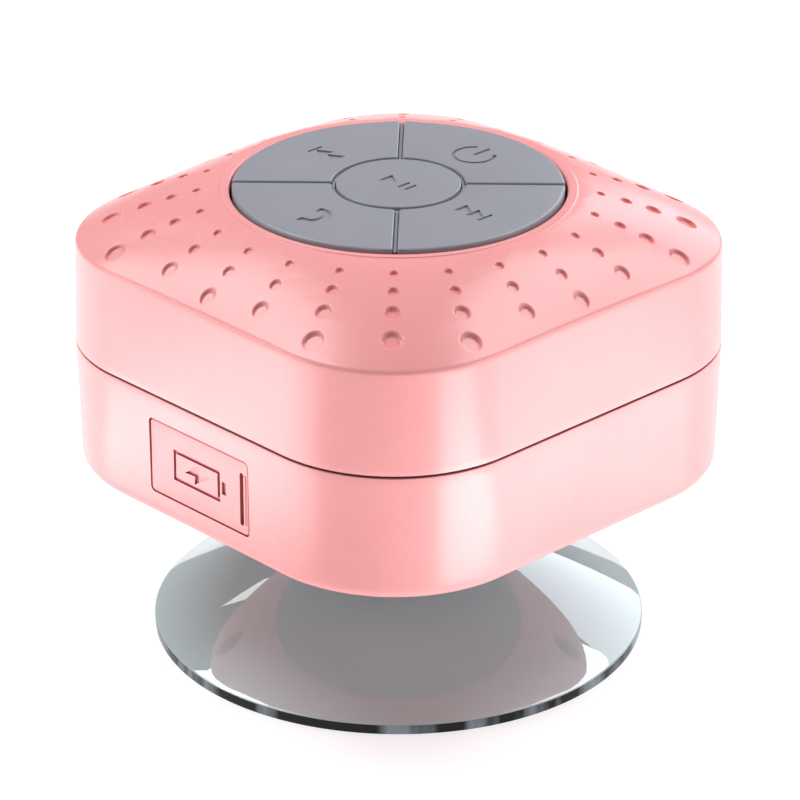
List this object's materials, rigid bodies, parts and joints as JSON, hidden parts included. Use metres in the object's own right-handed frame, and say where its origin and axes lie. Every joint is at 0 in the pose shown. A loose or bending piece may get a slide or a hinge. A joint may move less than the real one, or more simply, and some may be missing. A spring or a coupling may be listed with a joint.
{
  "type": "shower speaker",
  "caption": "Rounded-square water-resistant wireless speaker with a round keypad on top, a flap over its charging port, a perforated underside and a suction cup.",
  "frame": {"origin": "centre of the suction cup's lower rim, on the plane the cup stands on", "axes": "+Z out of the keypad, along the axis of the cup and the driver; +Y towards the power key; +X towards the next key; the charging port's cover faces -Y"},
  "size_m": [0.072, 0.072, 0.0638],
  "materials": {
    "pink_plastic": "satin pink moulded plastic",
    "pink_rubber": "satin pink silicone",
    "key_silicone": "matt grey silicone",
    "dark_silicone": "matt dark grey silicone",
    "black_plastic": "matt black",
    "ivory_plastic": "matt ivory",
    "black_rubber": "matt black",
    "black_foam": "matt black foam",
    "screw_steel": "zinc plated",
    "board_laminate": "green solder mask",
    "capsule_metal": "bright",
    "battery_foil": "satin foil",
    "tape": "matt",
    "port_steel": "bright plated",
    "red_insulation": "satin red",
    "black_insulation": "satin black",
    "frame_steel": "satin black paint",
    "plated_steel": "zinc plated",
    "ferrite": "matt dark grey ferrite",
    "copper": "enamelled copper winding",
    "cone_paper": "matt black pulp",
    "dust_cap_plastic": "satin black",
    "spider_cloth": "resin-dipped cloth",
    "grille_plastic": "matt grey",
    "mesh_cloth": "fine black mesh",
    "cup_vinyl": "polished smoke-grey vinyl"
  },
  "bodies": {
    "case": {"amplifier_chip": "black_plastic", "battery_pack": "battery_foil", "battery_tape": "tape", "battery_wire_negative": "black_insulation", "battery_wire_positive": "red_insulation", "board_screw_1": "screw_steel", "board_screw_2": "screw_steel", "board_screw_3": "screw_steel", "board_screw_4": "screw_steel", "case_screw_1": "screw_steel", "case_screw_2": "screw_steel", "case_screw_3": "screw_steel", "case_screw_4": "screw_steel", "case_seal": "black_rubber", "charging_board": "board_laminate", "charging_port": "port_steel", "charging_wire_negative": "black_insulation", "charging_wire_positive": "red_insulation", "circuit_board": "board_laminate", "control_chip": "black_plastic", "cover_anchor": "pink_rubber", "driver_frame": "frame_steel", "driver_gasket": "black_foam", "driver_screw_1": "screw_steel", "driver_screw_2": "screw_steel", "driver_screw_3": "screw_steel", "driver_screw_4": "screw_steel", "front_plate": "plated_steel", "grille_mesh": "mesh_cloth", "keypad_web": "dark_silicone", "lower_shell": "pink_plastic", "magnet": "ferrite", "microphone": "capsule_metal", "rear_grille": "grille_plastic", "speaker_wire_negative": "black_insulation", "speaker_wire_positive": "red_insulation", "spider": "spider_cloth", "surround": "black_rubber", "switch_call": "black_plastic", "switch_next": "black_plastic", "switch_play_pause": "black_plastic", "switch_power": "black_plastic", "switch_previous": "black_plastic", "upper_shell": "pink_plastic", "yoke": "plated_steel"},
    "key_previous_press": {"key_previous": "key_silicone", "switch_button_previous": "ivory_plastic"},
    "key_next_press": {"key_next": "key_silicone", "switch_button_next": "ivory_plastic"},
    "key_power_press": {"key_power": "key_silicone", "switch_button_power": "ivory_plastic"},
    "key_call_press": {"key_call": "key_silicone", "switch_button_call": "ivory_plastic"},
    "key_play_pause_press": {"key_play_pause": "key_silicone", "switch_button_play_pause": "ivory_plastic"},
    "cover": {"port_cover": "pink_rubber"},
    "cone_assembly": {"cone": "cone_paper", "dust_cap": "dust_cap_plastic", "voice_coil": "copper"},
    "cup": {"suction_cup": "cup_vinyl"}
  },
  "joints": [
    {"name": "previous_key_travel", "type": "slide", "parent": "case", "child": "key_previous_press", "axis": [0, 0, -1], "range_m": [0, 0.0005], "stiffness_N_per_m": 1500, "springref_m": -0.0002},
    {"name": "next_key_travel", "type": "slide", "parent": "case", "child": "key_next_press", "axis": [0, 0, -1], "range_m": [0, 0.0005], "stiffness_N_per_m": 1500, "springref_m": -0.0002},
    {"name": "power_key_travel", "type": "slide", "parent": "case", "child": "key_power_press", "axis": [0, 0, -1], "range_m": [0, 0.0005], "stiffness_N_per_m": 1500, "springref_m": -0.0002},
    {"name": "call_key_travel", "type": "slide", "parent": "case", "child": "key_call_press", "axis": [0, 0, -1], "range_m": [0, 0.0005], "stiffness_N_per_m": 1500, "springref_m": -0.0002},
    {"name": "play_pause_key_travel", "type": "slide", "parent": "case", "child": "key_play_pause_press", "axis": [0, 0, -1], "range_m": [0, 0.0005], "stiffness_N_per_m": 1500, "springref_m": -0.0002},
    {"name": "cover_hinge", "type": "hinge", "parent": "case", "child": "cover", "pos_m": [-0.009, -0.03585, 0.0334], "axis": [0, 0, -1], "range_deg": [0, 120]},
    {"name": "cone_travel", "type": "slide", "parent": "case", "child": "cone_assembly", "axis": [0, 0, -1], "range_m": [-0.0008, 0.0008], "stiffness_N_per_m": 1000},
    {"name": "cup_swivel", "type": "hinge", "parent": "case", "child": "cup", "pos_m": [0, 0, 0.0245], "axis": [0, 0, 1], "continuous": true}
  ]
}
